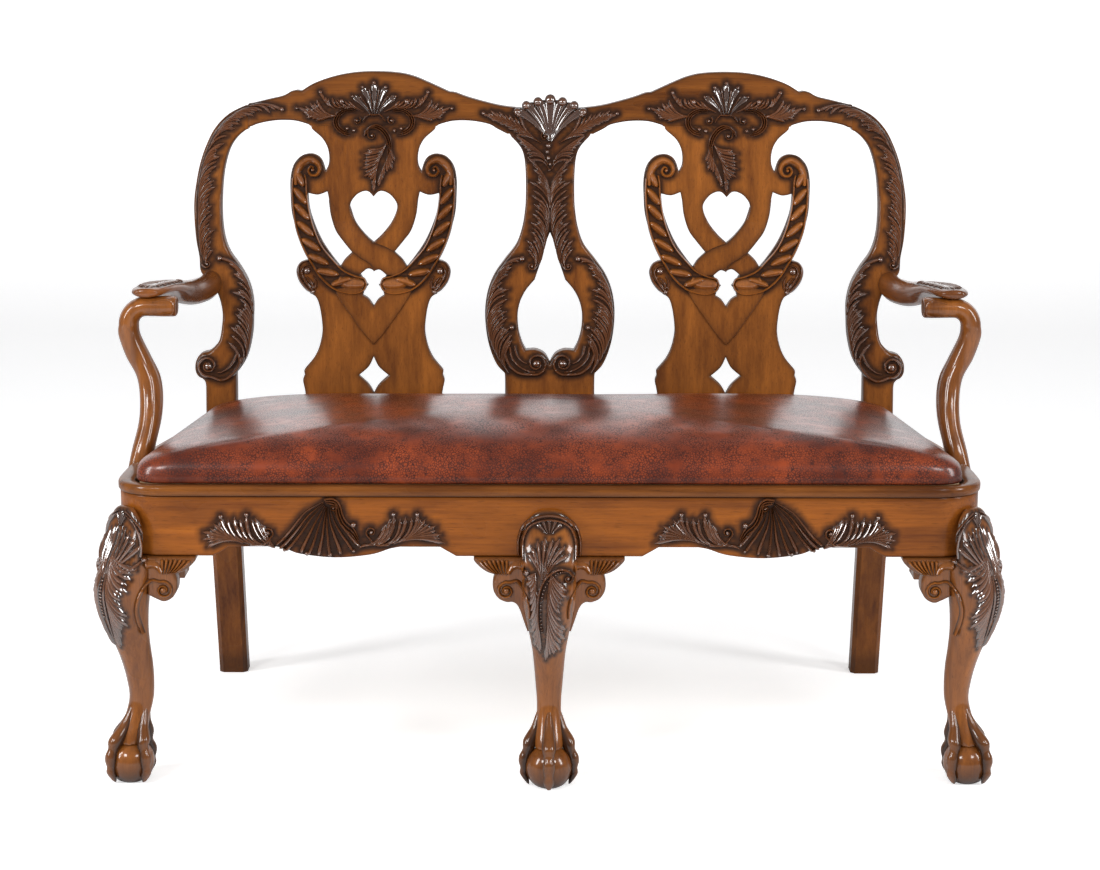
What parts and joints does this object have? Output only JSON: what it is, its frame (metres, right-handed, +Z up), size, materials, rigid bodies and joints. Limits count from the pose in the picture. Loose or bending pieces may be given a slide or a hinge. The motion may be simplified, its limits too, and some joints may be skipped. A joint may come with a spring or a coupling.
{
  "type": "chair-back settee",
  "caption": "Walnut double chair-back settee with pierced splats, carved crest, scrolled arms, cabriole front legs on claw-and-ball feet and a drop-in leather seat.",
  "frame": {"origin": "centre of the object's plan at the level of the feet", "axes": "+X to the sitter's view right along the settee, seen from the front; +Y to the back; +Z up"},
  "size_m": [1.338, 0.6608, 1.025],
  "materials": {
    "walnut": "polished",
    "dark_walnut": "polished, dark in the recesses",
    "beech": "raw",
    "jute": "woven",
    "leather": "glossy, mottled"
  },
  "bodies": {
    "frame": {"rail_front": "walnut", "rail_side_left": "walnut", "rail_side_right": "walnut", "rail_rear": "walnut", "seat_moulding_front": "walnut", "seat_moulding_side_left": "walnut", "seat_moulding_side_right": "walnut", "leg_front_left": "walnut", "leg_front_right": "walnut", "leg_front_middle": "walnut", "knee_bracket_front_left": "walnut", "knee_bracket_front_right": "walnut", "knee_bracket_side_left": "walnut", "knee_bracket_side_right": "walnut", "knee_bracket_middle_left": "walnut", "knee_bracket_middle_right": "walnut", "back_post_left": "walnut", "back_post_right": "walnut", "crest_rail_left": "walnut", "crest_rail_right": "walnut", "splat_left": "walnut", "splat_right": "walnut", "splat_shoe_left": "walnut", "splat_shoe_right": "walnut", "middle_post": "walnut", "arm_support_left": "walnut", "arm_support_right": "walnut", "arm_left": "walnut", "arm_right": "walnut", "crest_carving_left": "dark_walnut", "crest_carving_right": "dark_walnut", "crest_shell": "dark_walnut", "rail_carving_left": "dark_walnut", "rail_carving_right": "dark_walnut", "corner_block_front_left": "beech", "corner_block_front_right": "beech", "corner_block_rear_left": "beech", "corner_block_rear_right": "beech", "seat_brace": "beech"},
    "seat": {"seat_frame_front": "beech", "seat_frame_rear": "beech", "seat_frame_side_left": "beech", "seat_frame_side_right": "beech", "seat_frame_middle": "beech", "seat_webbing": "jute", "seat_pad": "leather"}
  },
  "joints": [
    {"name": "seat_lift", "type": "slide", "parent": "frame", "child": "seat", "axis": [0, 0, 1], "range_m": [0, 0.15]}
  ]
}
